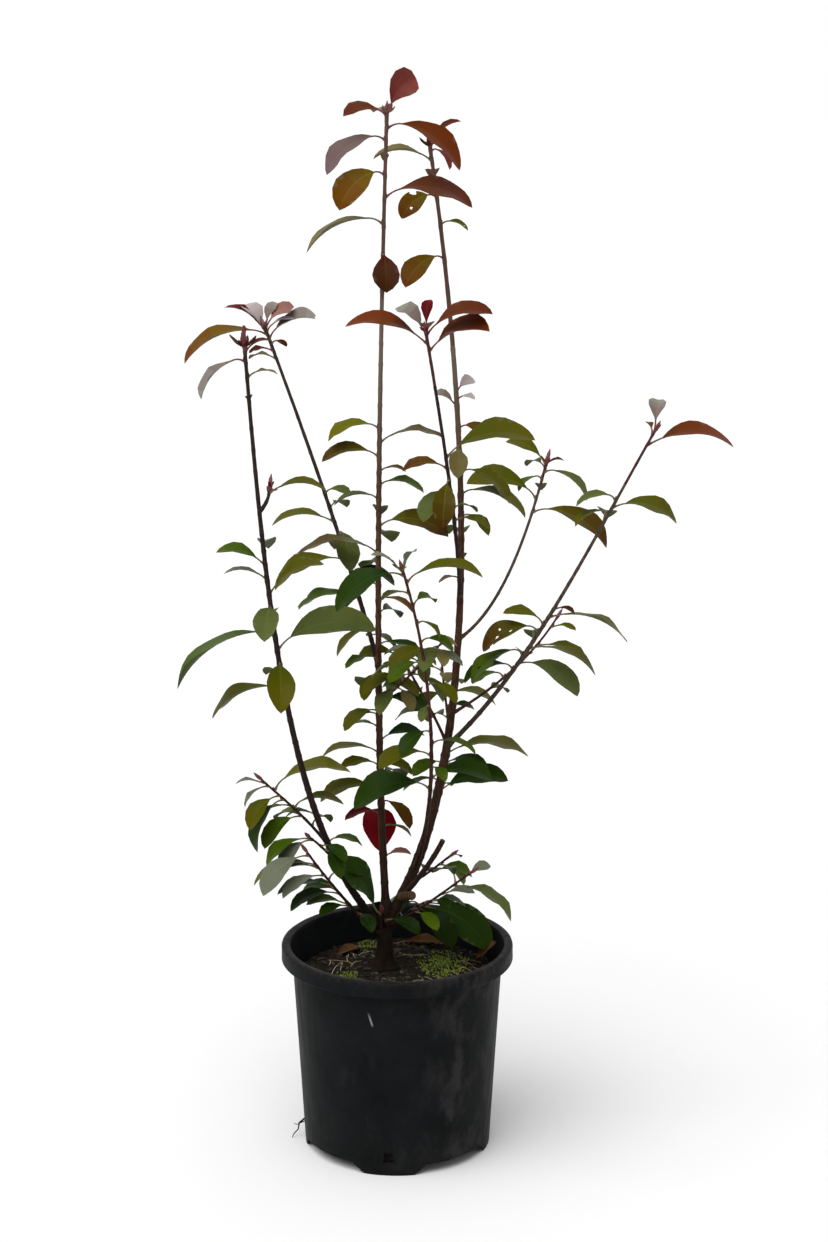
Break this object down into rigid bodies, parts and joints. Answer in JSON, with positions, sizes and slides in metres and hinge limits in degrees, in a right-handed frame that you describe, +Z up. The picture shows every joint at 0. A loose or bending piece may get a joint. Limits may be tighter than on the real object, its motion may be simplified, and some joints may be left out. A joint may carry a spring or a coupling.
{
  "type": "potted photinia shrub",
  "caption": "Young open photinia shrub with slim arching stems, bronze young tips over olive and dark green leaves, growing in a black nursery pot filled with potting mix.",
  "frame": {"origin": "middle of the flat underside of the pot, at the level that the pot stands on", "axes": "+Z up along the pot's axis and the plant's height, +X to the right and -Y towards the viewer in the picture's view; the plant has no true front"},
  "size_m": [0.6018, 0.3718, 1.2244],
  "materials": {
    "pot_plastic": "black polypropylene with a soft sheen and light scuffs",
    "potting_mix": "dark, damp, crumbly bark and peat mix",
    "bark": "smooth reddish-brown young bark with fine lenticels",
    "bronze_foliage": "glossy young leaves, bronze to orange-red",
    "olive_foliage": "glossy olive-green leaves",
    "dark_foliage": "glossy dark green mature leaves"
  },
  "bodies": {
    "root": {"pot": "pot_plastic", "potting_soil": "potting_mix", "trunk": "bark", "centre_limb_1": "bark", "centre_low_leaves": "dark_foliage", "centre_mid_leaves": "olive_foliage", "centre_upper_leaves": "olive_foliage", "centre_limb_2": "bark", "centre_crown": "bronze_foliage", "right_limb_1": "bark", "right_low_leaves": "olive_foliage", "right_limb_2": "bark", "right_mid_leaves": "olive_foliage", "right_limb_3": "bark", "right_crown": "bronze_foliage", "left_limb_1": "bark", "left_mid_leaves": "olive_foliage", "left_limb_2": "bark", "left_crown": "bronze_foliage", "left_spur_crown": "bronze_foliage", "inner_left_limb_1": "bark", "inner_left_leaves": "olive_foliage", "inner_left_limb_2": "bark", "inner_left_crown": "bronze_foliage", "inner_right_limb_1": "bark", "inner_right_leaves": "olive_foliage", "inner_right_limb_2": "bark", "inner_right_crown": "bronze_foliage", "back_right_limb_1": "bark", "back_right_crown": "bronze_foliage", "far_right_limb_1": "bark", "far_right_low_leaves": "olive_foliage", "far_right_limb_2": "bark", "far_right_mid_leaves": "olive_foliage", "far_right_limb_3": "bark", "far_right_crown": "bronze_foliage", "short_right_leaves": "olive_foliage", "inner_back_leaves": "olive_foliage", "inner_spur_leaves": "olive_foliage", "cross_twig_leaves": "olive_foliage", "front_limb_1": "bark", "front_low_leaves": "dark_foliage", "front_limb_2": "bark", "front_crown": "bronze_foliage", "cut_stub": "bark", "low_right_leaves": "dark_foliage", "low_right_back_leaves": "dark_foliage", "low_left_leaves": "dark_foliage", "low_left_front_leaves": "dark_foliage", "base_left_leaves": "dark_foliage", "base_front_leaves": "dark_foliage", "base_back_leaves": "dark_foliage"}
  },
  "joints": []
}
